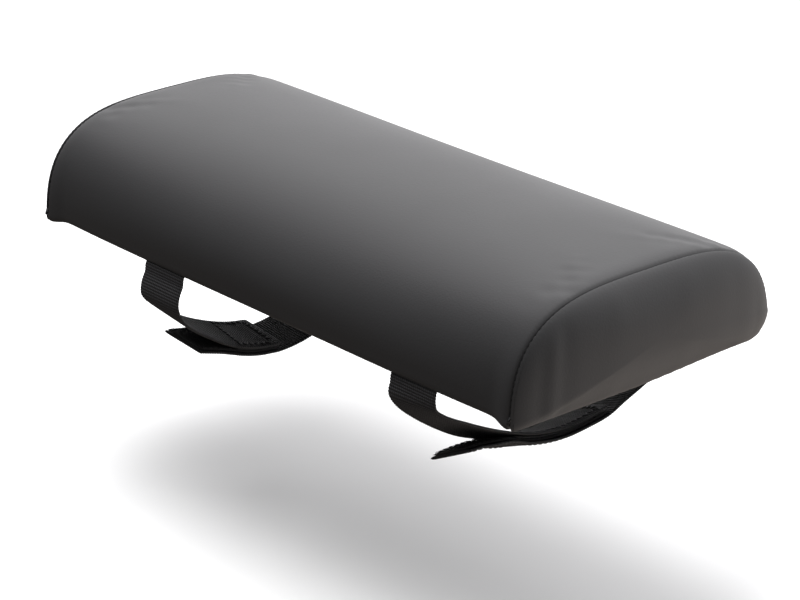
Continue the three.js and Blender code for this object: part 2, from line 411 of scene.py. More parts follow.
# %% Section of the cover
wrap_low, wrap_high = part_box("cover_wrap")
panel_low, panel_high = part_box("end_panel_front")
SEAM_X = panel_low.x                    # the end seams are at plus and minus this
TOP_Z, HEM_Z = wrap_high.z, wrap_low.z
SEAM_PULL, SEAM_DROP = 0.0007, 0.0012   # the stitches draw the cover in by this, and down
HALF_WIDTH = panel_high.y + SEAM_PULL
BELLY = wrap_high.y - HALF_WIDTH        # how much wider each side is at the middle
FLANK_POWER, CROWN_POWER = 3.4, 2.85
ROUND_TUCK = (0.004, 0.0045, 2)         # across, up, and how square: 2 is round
FIRM_TUCK = (0.004, 0.0045, 3.5)        # the -Y edge is folded more sharply
FOOT_ROUND, FOOT_SQUARE = (0.0105, 0.0115, 2), (0.004, 0.0045, 5)
HEM_REACH = 0.0075
FOOT_Z, LIP_HANG, LIP_OUT = 0.0004, 0.0020, 0.0026
MIDDLE_Z = 0.018
SKIN = 0.0011


def half_section(tuck, hem_z, inset):
    """Half of the D on +Y, from the hem's inner edge to the middle of the crown."""
    across, up, square = tuck
    turn = np.linspace(0, math.pi / 2, 24)[:-1]
    curl = np.stack([
        HALF_WIDTH - across + (across - inset) * np.sin(turn) ** (2 / square),
        up - (up - hem_z - inset) * np.cos(turn) ** (2 / square)], axis=1)
    rise = TOP_Z - inset
    start = math.asin((up / rise) ** (CROWN_POWER / 2))
    angle = np.linspace(start, math.pi / 2, 160)
    crown = np.stack([
        (HALF_WIDTH - inset) * np.clip(np.cos(angle), 0, 1) ** (2 / FLANK_POWER),
        rise * np.sin(angle) ** (2 / CROWN_POWER)], axis=1)
    crown[-1, 0] = 0
    hem = [[HALF_WIDTH - ROUND_TUCK[0] - HEM_REACH, hem_z]]
    return np.concatenate([hem, curl, crown])


def d_section(count, right=ROUND_TUCK, left=ROUND_TUCK, hem_z=HEM_Z, inset=0.0):
    """(y, z) from the +Y hem over the top to the -Y hem, evenly spaced."""
    right_half = half_section(right, hem_z, inset)
    left_half = half_section(left, hem_z, inset)
    return evenly(np.concatenate([right_half, left_half[-2::-1] * (-1, 1)]), count)


def belly(x):
    """How many times wider the section is at x than beside a seam."""
    return 1 + BELLY / HALF_WIDTH * np.clip(1 - (x / SEAM_X) ** 4, 0, 1)


def cover_sections(x, count):
    """y and z of the cover's outer surface, one row for each x."""
    middle = d_section(count, ROUND_TUCK, FIRM_TUCK)
    foot = d_section(count, FOOT_ROUND, FOOT_SQUARE, FOOT_Z)
    inward = (SEAM_X - np.abs(x))[:, None]
    share = smoothstep(1 - inward / 0.016)[..., None]
    section = middle[None] * (1 - share) + foot[None] * share
    pull = np.exp(-inward / 0.0022)
    y = section[..., 0] * belly(x)[:, None] * (1 - SEAM_PULL / HALF_WIDTH * pull)
    z = section[..., 1] * (1 - SEAM_DROP / TOP_Z * pull)
    ear = np.clip(1 - z / 0.034, 0, 1) * smoothstep((-y - 0.030) / 0.030)
    return y - LIP_OUT * ear * smoothstep(1 - inward / 0.011), z


def hang(y, z, inward):
    """How far the bottom edge hangs down: mostly at -Y, and most at a seam's foot."""
    low = np.clip(1 - z / 0.012, 0, 1) ** 2
    side = 1 - smoothstep((y + 0.010) / 0.060)
    return LIP_HANG * low * side * (0.5 + 0.5 * smoothstep(1 - inward / 0.012))


def wrap_surface(x, count):
    """The wrap's smooth outer surface. Over the base cloth, its hem can't hang down."""
    y, z = cover_sections(x, count)
    clear = smoothstep((np.abs(y) - 0.0570) / 0.0015)
    z = z - hang(y, z, (SEAM_X - np.abs(x))[:, None]) * clear
    return np.stack([np.broadcast_to(x[:, None], y.shape), y, z], axis=2)


def panel_rim(side, count, bottom_count):
    """An end panel's outline: the section at the seam, closed along the bottom."""
    y, z = (v[0] for v in cover_sections(np.array([side * SEAM_X]), count))
    y = np.concatenate([y, np.linspace(y[-1], y[0], bottom_count + 2)[1:-1]])
    z = np.concatenate([z, np.linspace(z[-1], z[0], bottom_count + 2)[1:-1]])
    z = z - hang(y, z, 0)
    return np.stack([np.full(len(y), side * SEAM_X), y, z], axis=1)


def panel_surface(side, shares, rim):
    """An end panel: the rim drawn in towards its middle, and domed like a pillow."""
    centre = np.array([0, MIDDLE_Z])
    bulge = panel_high.x - SEAM_X
    rings = []
    for share in shares:
        ring = centre + (rim[:, 1:] - centre) * share
        x = side * (SEAM_X + bulge * (1 - share ** 2) ** 0.55)
        rings.append(np.concatenate([np.full((len(ring), 1), x), ring], axis=1))
    return np.array(rings)


print("section is", round(2 * HALF_WIDTH * 1000, 1), "by", round(TOP_Z * 1000, 1), "mm")

# %% [markdown]
# ## How the cover swells
# A sewn cover is held at its seams and pushed out by the foam between them. Cloth
# simulation finds that shape: the coarse form below starts a little too small, is
# pinned round both seams and along the underside, and is blown up by pressure.
# How far each point moves is read back as an offset, and the fine surfaces are
# drawn with those offsets added, which keeps the seams sharp.

# %% Coarse form, simulated
ROWS, COLUMNS, BOTTOM = 57, 45, 12
SHARES = np.linspace(1, 0, 8)
SWELL_CAP = 0.005
START_SMALLER = 0.0008
RING = COLUMNS + BOTTOM
WRAP_POINTS = ROWS * COLUMNS
PANEL_POINTS = BOTTOM + (len(SHARES) - 2) * RING + 1


def coarse_form():
    """Points, faces and held points of one closed form: the wrap and both panels."""
    points = [wrap_surface(np.linspace(-SEAM_X, SEAM_X, ROWS), COLUMNS).reshape(-1, 3)]
    faces = grid_faces(ROWS, COLUMNS)
    faces += [(i * COLUMNS, (i + 1) * COLUMNS, (i + 2) * COLUMNS - 1, (i + 1) * COLUMNS - 1)
              for i in range(ROWS - 1)]
    held = [i * COLUMNS + j for i in range(ROWS) for j in range(COLUMNS)
            if i in (0, ROWS - 1) or j in (0, 1, COLUMNS - 2, COLUMNS - 1)]
    total = WRAP_POINTS
    for side, row in ((-1, 0), (1, ROWS - 1)):
        rings = panel_surface(side, SHARES, panel_rim(side, COLUMNS, BOTTOM))
        points += [rings[0, COLUMNS:], rings[1:-1].reshape(-1, 3), rings[-1, :1]]
        bottom = list(range(total, total + BOTTOM))
        held += bottom
        outer = [row * COLUMNS + j for j in range(COLUMNS)] + bottom
        total += BOTTOM
        for _ in range(len(SHARES) - 2):
            ring = list(range(total, total + RING))
            faces += [(outer[j], outer[(j + 1) % RING], ring[(j + 1) % RING], ring[j])
                      for j in range(RING)]
            outer = ring
            total += RING
        faces += [(outer[j], outer[(j + 1) % RING], total) for j in range(RING)]
        total += 1
    return np.concatenate(points), faces, held


def swollen_offsets():
    """How far pressure moves each point of the coarse form."""
    points, faces, held = coarse_form()
    form = new_piece("coarse_form", points, faces, LEATHER)
    point_outwards(form)
    normals = np.array([v.normal for v in form.data.vertices])
    free = np.ones(len(points), bool)
    free[held] = False
    small = points - normals * START_SMALLER * free[:, None]
    form.data.vertices.foreach_set("co", small.astype(np.float32).ravel())
    pins = form.vertex_groups.new(name="held")
    pins.add(held, 1.0, "REPLACE")
    cloth = form.modifiers.new("cloth", "CLOTH")
    s = cloth.settings
    s.quality, s.mass, s.air_damping = 6, 0.25, 2.0
    s.tension_stiffness = s.compression_stiffness = 34
    s.shear_stiffness, s.bending_stiffness = 17, 1.5
    s.vertex_group_mass = "held"
    s.use_pressure, s.uniform_pressure_force = True, 4.0
    s.effector_weights.gravity = 0
    cloth.collision_settings.use_collision = False
    cloth.point_cache.frame_start, cloth.point_cache.frame_end = 1, 20
    for step in range(1, 21):
        bpy.context.scene.frame_set(step)
    deps = bpy.context.evaluated_depsgraph_get()
    blown = form.evaluated_get(deps).to_mesh()
    moved = np.array([v.co for v in blown.vertices]) - small
    length = np.linalg.norm(moved, axis=1)
    moved *= np.minimum(1, SWELL_CAP / np.maximum(length, 1e-9))[:, None]
    bpy.context.scene.frame_set(1)
    bpy.data.objects.remove(form)
    outward = (moved * normals).sum(axis=1)[free] * 1000
    print("moved outwards, mm: least", round(float(outward.min()), 2),
          "mean", round(float(outward.mean()), 2), "most", round(float(outward.max()), 2))
    return moved


swell = swollen_offsets()


# %% Reading the offsets on a finer grid
def resample(field, rows_at, columns_at):
    """field is a coarse grid of vectors; smooth readings at fractions of its rows and columns."""
    def along(data, at):
        n = len(data)
        spot = np.clip(at, 0, 1) * (n - 1)
        i = np.minimum(spot.astype(int), n - 2)
        t = (spot - i)[:, None, None]
        p = [data[np.clip(i + k, 0, n - 1)] for k in (-1, 0, 1, 2)]
        return 0.5 * (2 * p[1] + (p[2] - p[0]) * t + (2 * p[0] - 5 * p[1] + 4 * p[2] - p[3]) * t ** 2
                      + (3 * p[1] - p[0] - 3 * p[2] + p[3]) * t ** 3)
    first = along(field, rows_at)
    return along(first.transpose(1, 0, 2), columns_at).transpose(1, 0, 2)


wrap_swell = swell[:WRAP_POINTS].reshape(ROWS, COLUMNS, 3)
panel_swell = {}
for side, start in ((-1, WRAP_POINTS), (1, WRAP_POINTS + PANEL_POINTS)):
    rings = swell[start + BOTTOM:start + PANEL_POINTS - 1].reshape(-1, RING, 3)
    pole = np.broadcast_to(swell[start + PANEL_POINTS - 1], (1, RING, 3))
    grid = np.concatenate([np.zeros((1, RING, 3)), rings, pole])
    panel_swell[side] = np.concatenate([grid, grid[:, :1]], axis=1)
print("offset grids:", wrap_swell.shape, panel_swell[1].shape)

# %% [markdown]
# ## The straps' routes
# Each strap is a ribbon along a smooth curve, much like the one its solid was swept
# along. Each station below says where the middle of the webbing runs and how far it
# is rolled about its length. The stations nearest the pad stand up to a few
# millimetres off the solids' own, so that the webbing leaves the edge as it should.

# %% Curves
LOOPS = {
    "front": {
        "x": 88.4, "lap_from": 0.6,
        "upper": [[-63.3, -3.2, 0], [-63.4, -6.8, 4], [-60.2, -11.0, 8], [-49, -19.0, 15],
                  [-31, -29, 21], [-14, -34.8, 21], [3, -36.2, 20], [21, -33.4, 18]],
        "tab": [[-46, -32.8, 26], [-38, -32.8, 24]],
        "lower": [[31, -32.6, 14], [44, -25.5, 8], [56, -15.8, 3], [62.2, -8.6, 0],
                  [61.4, -3.4, 0]],
    },
    "rear": {
        "x": -59.9, "lap_from": 0.7,
        "upper": [[-64.0, -3.2, 0], [-66.0, -7.4, 0], [-66.4, -12.2, 0], [-62.2, -18.4, -5],
                  [-49.5, -27.6, -7], [-38.5, -33.2, -9], [-27, -36.8, -8],
                  [-17.5, -38.2, -6]],
        "tab": [[-56.5, -31.6, -4], [-48.5, -33.6, -6]],
        "lower": [[-7, -40.4, -5], [6, -36.8, -4], [25, -29, -2], [45, -21, 0],
                  [59, -14.6, 0], [63.8, -8.6, 0], [61.4, -3.4, 0]],
    },
}
LAP = 3.28                    # middle to middle of the two webbings, mm


def curve(points, t):
    """A centripetal Catmull-Rom curve through points, read at t from 0 to 1."""
    points = np.asarray(points, float)
    last = len(points) - 1
    place = min(max(t, 0), 1) * last
    i = min(int(place), last - 1)
    w = place - i
    p1, p2 = points[i], points[i + 1]
    p0 = points[i - 1] if i > 0 else 2 * points[0] - points[1]
    p3 = points[i + 2] if i + 2 <= last else 2 * points[last] - points[last - 1]
    d0, d1, d2 = (float(((b - a) ** 2).sum()) ** 0.25 for a, b in ((p0, p1), (p1, p2), (p2, p3)))
    d1 = d1 if d1 >= 1e-4 else 1.0
    d0 = d0 if d0 >= 1e-4 else d1
    d2 = d2 if d2 >= 1e-4 else d1
    m1 = ((p1 - p0) / d0 - (p2 - p0) / (d0 + d1) + (p2 - p1) / d1) * d1
    m2 = ((p2 - p1) / d1 - (p3 - p1) / (d1 + d2) + (p3 - p2) / d2) * d1
    return (p1 + m1 * w + (-3 * p1 + 3 * p2 - 2 * m1 - m2) * w ** 2
            + (2 * p1 - 2 * p2 + m1 + m2) * w ** 3)


def rolled_frame(along, roll):
    """Width and thickness directions of a ribbon that runs along, rolled in degrees."""
    wide = np.array([1.0, 0, 0]) - along * along[0]
    wide /= np.linalg.norm(wide)
    angle = -math.radians(roll)
    wide = wide * math.cos(angle) + np.cross(along, wide) * math.sin(angle)
    return wide, np.cross(wide, along)


def above(line, rolls, t):
    """The direction off the ribbon's upper face at t."""
    ahead = curve(line, min(t + 1e-4, 1)) - curve(line, max(t - 1e-4, 0))
    return rolled_frame(ahead / np.linalg.norm(ahead), curve(rolls, t)[0])[1]


class Route:
    """A ribbon's path: places, width and thickness directions at even steps, in metres."""

    def __init__(self, places, rolls, step=0.00032):
        places, rolls = np.asarray(places), np.asarray(rolls)
        run = distance_along(places)
        self.length = float(run[-1])
        count = max(int(self.length / step), 8) + 1
        self.s = np.linspace(0, self.length, count)
        self.at = read_along(places, run, self.s)
        for _ in range(6):
            self.at[1:-1] = (self.at[:-2] + 2 * self.at[1:-1] + self.at[2:]) / 4
        roll = np.interp(self.s, run, rolls)
        along = np.gradient(self.at, axis=0)
        along /= np.linalg.norm(along, axis=1)[:, None]
        frames = [rolled_frame(a, r) for a, r in zip(along, roll)]
        self.wide = np.array([f[0] for f in frames])
        self.up = np.array([f[1] for f in frames])

    def spot(self, s, across=0.0, lift=0.0):
        """The points at distances s, shifted across the ribbon and off its face."""
        at, wide, up = (read_along(v, self.s, s) for v in (self.at, self.wide, self.up))
        return (at + wide * np.expand_dims(np.asarray(across), -1)
                + up * np.expand_dims(np.asarray(lift), -1))


# %% Routes of the four straps
STUB_IN, STUB_Z, STUB_RADIUS, STUB_SET_IN = 42.0, 1.7, 2.5, 0.3
LAP_SHARES = np.linspace(0, 1, 6)


def stub_line(x, side, edge):
    """The sewn-in end, from under the board to where it points straight down at the edge."""
    turn = np.linspace(0, math.pi / 2, 12)
    y = np.concatenate([[STUB_IN], edge - STUB_RADIUS * (1 - np.sin(turn))])
    z = np.concatenate([[STUB_Z], STUB_Z - STUB_RADIUS * (1 - np.cos(turn))])
    return np.stack([np.full(len(y), x), side * y, z], axis=1)


def strap_routes(loop):
    """The upper and lower webbing of one loop, and the distances where they lap."""
    x = loop["x"]
    line = np.array([[x, y, z] for y, z, _ in loop["upper"]], float)
    rolls = np.array([[r, 0, 0] for *_, r in loop["upper"]], float)
    upper_t, lower_t = np.linspace(0, 1, 400), np.linspace(0, 1, 500)
    body = np.array([curve(line, t) for t in upper_t])
    stub = stub_line(x, -1, -loop["upper"][0][0] - STUB_SET_IN)
    upper = Route(np.concatenate([stub, body]) / 1000,
                  np.concatenate([np.zeros(len(stub)), [curve(rolls, t)[0] for t in upper_t]]))
    stub_run = np.linalg.norm(np.diff(np.concatenate([stub, body[:1]]), axis=0), axis=1).sum() / 1000
    run = distance_along(body) / 1000
    upper.lap_from = stub_run + float(np.interp(loop["lap_from"], upper_t, run))

    lap = []
    for share in LAP_SHARES:
        t = loop["lap_from"] + (1 - loop["lap_from"]) * share
        lap.append([*(curve(line, t) - above(line, rolls, t) * LAP), curve(rolls, t)[0]])
    stations = [[x, *s] for s in loop["tab"]] + lap + [[x, *s] for s in loop["lower"]]
    line = np.array([s[:3] for s in stations])
    rolls = np.array([[s[3], 0, 0] for s in stations])
    body = np.array([curve(line, t) for t in lower_t])
    stub = stub_line(x, 1, loop["lower"][-1][0] - STUB_SET_IN)[::-1]
    lower = Route(np.concatenate([body, stub]) / 1000,
                  np.concatenate([[curve(rolls, t)[0] for t in lower_t], np.zeros(len(stub))]))
    run = distance_along(body) / 1000
    root, lap_end = len(loop["tab"]), len(loop["tab"]) + len(lap) - 1
    lower.root, lower.lap_end = (float(np.interp(k / (len(stations) - 1), lower_t, run))
                                 for k in (root, lap_end))
    return upper, lower


routes = {name: strap_routes(loop) for name, loop in LOOPS.items()}
for name, (upper, lower) in routes.items():
    print(name, "upper", round(upper.length * 1000, 1), "lower", round(lower.length * 1000, 1), "mm")

# %% [markdown]
# ## The wrap
# One sheet of leathercloth goes over the top and both flanks. It is drawn as a
# grid, with closer rows near the seams, where the sheet rolls down into the
# stitches. Four slots in its hem let the webbing out. Solidify gives it the
# thickness of the cloth, because the hem and the slots show it.

# %% Rows close to the seams
ROLL, SEAM_DEPTH, SEAM_GAP = 0.0015, 0.0030, 0.00030
STITCH_PITCH = 0.0024
U_COUNT = 190
SLOT_HALF, SLOT_HIGH, SLOT_EDGE = 0.0130, 0.0028, 0.0625    # along x, up, and out to this y


def wrap_rows():
    """x and depth of every row: 1.5 mm apart, and rolled down into each seam."""
    turn = np.radians([90, 78, 66, 54, 42, 30, 18, 6])
    near = [(0, SEAM_DEPTH), (0, 0.7 * SEAM_DEPTH)]
    near += [(ROLL * (1 - math.sin(a)), ROLL * (1 - math.cos(a))) for a in turn]
    near += [(d, 0) for d in (0.0018, 0.0024, 0.0032, 0.0042, 0.0054, 0.0068)]
    body = np.arange(-SEAM_X + 0.008, SEAM_X - 0.0079, 0.0015)
    slots = [loop["x"] / 1000 + side * SLOT_HALF for loop in LOOPS.values() for side in (-1, 1)]
    body = [(b, 0) for b in body if min(abs(b - s) for s in slots) > 0.0006]
    body = sorted(body + [(s, 0) for s in slots])
    edge = SEAM_X - SEAM_GAP
    rows = [(d - edge, depth) for d, depth in near] + body
    rows += [(edge - d, depth) for d, depth in reversed(near)]
    return np.array(rows).T


rows_x, roll_depth = wrap_rows()
surface = wrap_surface(rows_x, U_COUNT)
surface = surface + resample(wrap_swell, (rows_x + SEAM_X) / (2 * SEAM_X), np.linspace(0, 1, U_COUNT))
section_centre = np.array([0, 0, MIDDLE_Z])


def inward_direction(points):
    """Unit vectors from each point of a section towards the inside; straight up at its foot."""
    tangent = np.gradient(points, axis=-2)
    normal = np.stack([np.zeros(points.shape[:-1]), tangent[..., 2], -tangent[..., 1]], axis=-1)
    normal /= np.maximum(np.linalg.norm(normal, axis=-1, keepdims=True), 1e-9)
    facing = ((section_centre - points) * normal * (0, 1, 1)).sum(axis=-1, keepdims=True)
    foot = np.clip(1 - points[..., 2:] / 0.004, 0, 1)
    way = normal * np.sign(facing) * (1 - foot) + np.array([0, 0, 1]) * foot
    return way / np.linalg.norm(way, axis=-1, keepdims=True)


inward_x = SEAM_X - np.abs(rows_x)
run_u = distance_along(surface[len(rows_x) // 2])
pucker = np.cos(2 * math.pi * run_u / STITCH_PITCH)[None] * 0.00009 \
    * np.exp(-((inward_x[:, None] - 0.0013) / 0.0010) ** 2)
sink = roll_depth + 0.0005 * np.exp(-inward_x / 0.0030)
surface = surface + inward_direction(surface) * (sink[:, None] + pucker)[..., None]
print("wrap grid", surface.shape)


# %% Wrap piece
def wrap_piece():
    rows = len(rows_x)
    faces = []
    middle_y = surface[rows // 2, :, 1]
    for face in grid_faces(rows, U_COUNT):
        i, j = face[0] // U_COUNT, face[0] % U_COUNT
        x = (rows_x[i] + rows_x[i + 1]) / 2
        in_slot = any(abs(x - loop["x"] / 1000) < SLOT_HALF for loop in LOOPS.values())
        low = max(surface[i, j, 2], surface[i, j + 1, 2]) < SLOT_HIGH
        if not (in_slot and low and abs(middle_y[j]) < SLOT_EDGE):
            faces.append(face)
    piece = new_piece("leathercloth_wrap", surface.reshape(-1, 3), faces, LEATHER)
    work = bmesh.new()
    work.from_mesh(piece.data)
    loose = [v for v in work.verts if not v.link_faces]
    bmesh.ops.delete(work, geom=loose, context="VERTS")
    work.to_mesh(piece.data)
    work.free()
    if piece.data.polygons[len(piece.data.polygons) // 2].normal.z < 0:
        piece.data.flip_normals()
    return give_wall(piece, SKIN)


wrap = wrap_piece()
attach(wrap, "cushion")
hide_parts("cover_wrap")
print("wrap has", len(wrap.data.polygons), "faces")

# %% [markdown]
# ## The end panels
# Each end is closed by a D of the same cloth, sewn all round and pushed out by the
# foam into a low dome. It isn't quite smooth: the cloth is taller than the foam, so
# it stands in a few soft upright folds, and it puckers between the stitches.

# %% End panels
BOTTOM_COUNT = 60
FOLDS = [(-0.0530, 0.0030, -0.00024), (-0.0478, 0.0024, 0.00022), (-0.0430, 0.0028, -0.00018),
         (-0.0200, 0.0045, 0.00014), (0.0140, 0.0050, 0.00012), (0.0390, 0.0050, -0.00012),
         (0.0530, 0.0030, -0.00014)]
# The turned-in edge: depth below the outline, and distance out from the seam
RIM_TURN = [(SEAM_DEPTH, SEAM_GAP), (0.0018, SEAM_GAP), (0.0011, SEAM_GAP + 0.00002),
            (0.0006, SEAM_GAP + 0.00010), (0.00025, SEAM_GAP + 0.00030)]


def turned_edge(side, rim):
    """Rings from deep in the seam up to the panel's outline."""
    to_centre = (section_centre - rim) * (0, 1, 1)
    to_centre /= np.linalg.norm(to_centre, axis=1, keepdims=True)
    steep = np.clip((to_centre * inward_direction(rim)).sum(axis=1, keepdims=True), 0.4, 1)
    return np.array([rim + to_centre / steep * depth + (side * out, 0, 0) for depth, out in RIM_TURN])


def ring_places():
    """Where the fine ring's points fall on the coarse ring, as fractions of it."""
    section = np.linspace(0, COLUMNS - 1, U_COUNT)
    bottom = COLUMNS - 1 + np.arange(1, BOTTOM_COUNT + 1) * (BOTTOM + 1) / (BOTTOM_COUNT + 1)
    return np.concatenate([section, bottom]) / RING


def end_panel(side):
    rim = panel_rim(side, U_COUNT, BOTTOM_COUNT)
    shares = 1 - 0.0048 * 208 ** (np.linspace(0, 1, 44))
    shares[-1] = 0
    rings = panel_surface(side, shares, rim)
    fade = smoothstep((1 - shares) / 0.25)[:, None, None]
    rings = rings + resample(panel_swell[side], 1 - shares, ring_places()) * fade
    y, z = rings[..., 1], rings[..., 2]
    mask = smoothstep((1 - shares) / 0.22)[:, None] * smoothstep(shares / 0.5)[:, None]
    for centre, width, height in FOLDS:
        drift = centre + (z - MIDDLE_Z) * 0.10
        rings[..., 0] += side * height * np.exp(-((side * y - drift) / width) ** 2) * mask
    run = distance_along(rim)
    from_rim = (1 - shares)[:, None] * np.linalg.norm(rim[:, 1:] - (0, MIDDLE_Z), axis=1)[None]
    rings[..., 0] -= side * np.cos(2 * math.pi * run / STITCH_PITCH)[None] * 0.00012 \
        * np.exp(-((from_rim - 0.0006) / 0.0009) ** 2)
    rings = np.concatenate([turned_edge(side, rim), rings])
    points = np.concatenate([rings[:-1].reshape(-1, 3), rings[-1, :1]])
    count = len(rim)
    faces = grid_faces(len(rings) - 1, count, closed=True)
    start = (len(rings) - 2) * count
    faces += [(start + j, start + (j + 1) % count, len(points) - 1) for j in range(count)]
    name = "end_panel_cloth_front" if side > 0 else "end_panel_cloth_rear"
    piece = new_piece(name, points, faces, LEATHER)
    point_outwards(piece, merge=True)
    if sum(f.normal.x for f in piece.data.polygons) * side < 0:
        piece.data.flip_normals()
    return give_wall(piece, SKIN)


for side, node in ((1, "end_panel_front"), (-1, "end_panel_rear")):
    panel = end_panel(side)
    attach(panel, "cushion")
    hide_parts(node)
    print(node, "has", len(panel.data.polygons), "faces")

# %% [markdown]
# ## Stitches
# A row of stitches is the same small piece of thread over and over. The script
# lays out one edge for each stitch, and a geometry-nodes tree stands a thread on
# every edge: it reads the edge's two ends, puts a stretched ball at its middle and
# turns it along the edge. The same tree serves seams, hems and straps.

# %% Starting and ending a shape tree
def shape_tree(name, numbers, material):
    """A geometry tree with named inputs: its net, and those inputs by name."""
    tree = bpy.data.node_groups.new(name, "GeometryNodeTree")
    face = tree.interface
    face.new_socket("Geometry", in_out="INPUT", socket_type="NodeSocketGeometry")
    for label, value in numbers.items():
        kind = "NodeSocketInt" if isinstance(value, int) else "NodeSocketFloat"
        face.new_socket(label, in_out="INPUT", socket_type=kind).default_value = value
    face.new_socket(material, in_out="INPUT", socket_type="NodeSocketMaterial")
    face.new_socket("Geometry", in_out="OUTPUT", socket_type="NodeSocketGeometry")
    net = Net(tree)
    rows = tree.nodes.new("NodeGroupInput")
    return net, {s.name: Value(net, s) for s in rows.outputs if s.name}


def end_tree(net, geometry, material, smooth=False):
    """Turns instances into mesh, paints it and closes the tree."""
    geometry = net.add("GeometryNodeRealizeInstances", {}, {"Geometry": geometry})
    if smooth:
        geometry = net.add("GeometryNodeSetShadeSmooth", {}, {"Geometry": geometry})
    geometry = net.add("GeometryNodeSetMaterial", {}, {"Geometry": geometry, "Material": material})
    end = net.tree.nodes.new("NodeGroupOutput")
    net.tree.links.new(geometry.socket, end.inputs[0])
    return net.tree


# %% The stitching tree
def stitch_tree():
    net, take = shape_tree("thread_on_edges", {"Thread radius": 0.0002, "Reach": 0.5}, "Thread")
    tree = net.tree
    ends = tree.nodes.new("GeometryNodeInputMeshEdgeVertices")
    first, second = (Value(net, ends.outputs[k]) for k in ("Position 1", "Position 2"))
    way = net.add("ShaderNodeVectorMath", {"operation": "SUBTRACT"}, {0: second, 1: first})
    caught = tree.nodes.new("GeometryNodeCaptureAttribute")
    caught.domain = "EDGE"
    caught.capture_items.new("VECTOR", "way")
    tree.links.new(take["Geometry"].socket, caught.inputs["Geometry"])
    tree.links.new(way.socket, caught.inputs["way"])
    kept = Value(net, caught.outputs["way"])
    spots = net.add("GeometryNodeMeshToPoints", {"mode": "EDGES"},
                    {"Mesh": Value(net, caught.outputs["Geometry"])})
    ball = net.add("GeometryNodeMeshUVSphere", {}, {"Segments": 8, "Rings": 6, "Radius": 1.0})
    turn = net.add("FunctionNodeAlignRotationToVector", {"axis": "Z"}, {"Vector": kept})
    span = net.add("ShaderNodeVectorMath", {"operation": "LENGTH"}, {0: kept}, out="Value")
    size = net.add("ShaderNodeCombineXYZ", {}, {0: take["Thread radius"], 1: take["Thread radius"],
                   2: span * take["Reach"]})
    sewn = net.add("GeometryNodeInstanceOnPoints", {}, {"Points": spots, "Instance": ball,
                   "Rotation": turn, "Scale": size})
    return end_tree(net, sewn, take["Thread"], smooth=True)


def set_inputs(modifier, **values):
    """Sets a tree's named inputs by their identifiers, before it is first evaluated."""
    for item in modifier.node_group.interface.items_tree:
        if item.item_type == "SOCKET" and item.in_out == "INPUT" and item.name in values:
            modifier[item.identifier] = values[item.name]


STITCHES = stitch_tree()


def sew(name, pairs, radius, thread, reach=0.5):
    """One piece of stitching from pairs of points, a stitch between each two."""
    pairs = np.asarray(pairs)
    mesh = bpy.data.meshes.new(name)
    mesh.from_pydata([tuple(p) for p in pairs.reshape(-1, 3)],
                     [(2 * k, 2 * k + 1) for k in range(len(pairs))], [])
    piece = bpy.data.objects.new(name, mesh)
    bpy.context.scene.collection.objects.link(piece)
    rows = piece.modifiers.new("stitches", "NODES")
    rows.node_group = STITCHES
    set_inputs(rows, **{"Thread radius": radius, "Reach": reach, "Thread": thread})
    bake(piece)
    if not piece.data.materials:
        piece.data.materials.append(thread)
    return piece


def stitch_row(line, pitch, share=0.82):
    """Pairs of points along a line: one stitch each pitch, share of it showing."""
    run = distance_along(line)
    starts = (np.arange(int(run[-1] / pitch)) + (1 - share) / 2) * pitch
    return np.stack([read_along(line, run, starts),
                     read_along(line, run, starts + share * pitch)], axis=1)


# %% End seams
seam_pairs = []
for side in (-1, 1):
    line = wrap_surface(np.array([side * SEAM_X]), 400)[0]
    line = line + inward_direction(line) * 0.0010
    keep = line[:, 2] > 0.0016
    seam_pairs.append(stitch_row(line[keep], STITCH_PITCH, 0.90))
seam = sew("end_seam_stitches", np.concatenate(seam_pairs), 0.00042, SEAM_THREAD, 0.54)
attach(seam, "cushion")
print("end seams:", sum(len(p) for p in seam_pairs), "stitches")

# %% [markdown]
# ## Base cloth
# The underside is closed by a thin bonded cloth, stretched over the board and sewn
# to the hem all round. It is the pad's seat on the armrest. The cloth is drawn flat
# on its lower side, a hair wavy, with a row of stitches round it.

# %% Base cloth
HEM_INSET = 0.0035            # from the base cloth's edge in to its stitches


def base_cloth():
    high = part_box("base_cloth")[1]
    half_x, half_y, corner = high.x, high.y, 0.007
    nx, ny = 120, 56
    xs, ys = np.linspace(-1, 1, nx), np.linspace(-1, 1, ny)
    points = []
    for a in xs:
        for b in ys:
            x, y = a * half_x, b * half_y
            over = max(abs(x) - (half_x - corner), 0), max(abs(y) - (half_y - corner), 0)
            reach = math.hypot(*over)
            if reach > corner:
                pull = corner / reach
                x = math.copysign(half_x - corner + over[0] * pull, x)
                y = math.copysign(half_y - corner + over[1] * pull, y)
            edge = min(half_x - abs(x), half_y - abs(y))
            wave = 0.00012 * math.sin(61 * x + 1.3) * math.sin(83 * y - 0.4)
            sewn = 0.00028 * math.exp(-((edge - HEM_INSET) / 0.0008) ** 2)
            points.append((x, y, high.z - 0.0003 + wave * smoothstep(edge / 0.01) + sewn))
    piece = new_piece("base_cloth_sheet", points, grid_faces(nx, ny), BASE_CLOTH)
    if piece.data.polygons[0].normal.z < 0:
        piece.data.flip_normals()
    return give_wall(piece, 0.00045), half_x, half_y


base, base_x, base_y = base_cloth()
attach(base, "cushion")
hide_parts("base_cloth")
2 * base_y
2 * base_x


def round_rectangle(x, y, corner, z):
    turn = np.linspace(0, math.pi / 2, 12)
    line = []
    for sx, sy, offset in ((1, 1, 0), (-1, 1, 1), (-1, -1, 2), (1, -1, 3)):
        a = turn + offset * math.pi / 2
        line += [(sx * (x - corner) + corner * math.cos(t), sy * (y - corner) + corner * math.sin(t), z)
                 for t in a]
    line.append(line[0])
    return np.array(line)


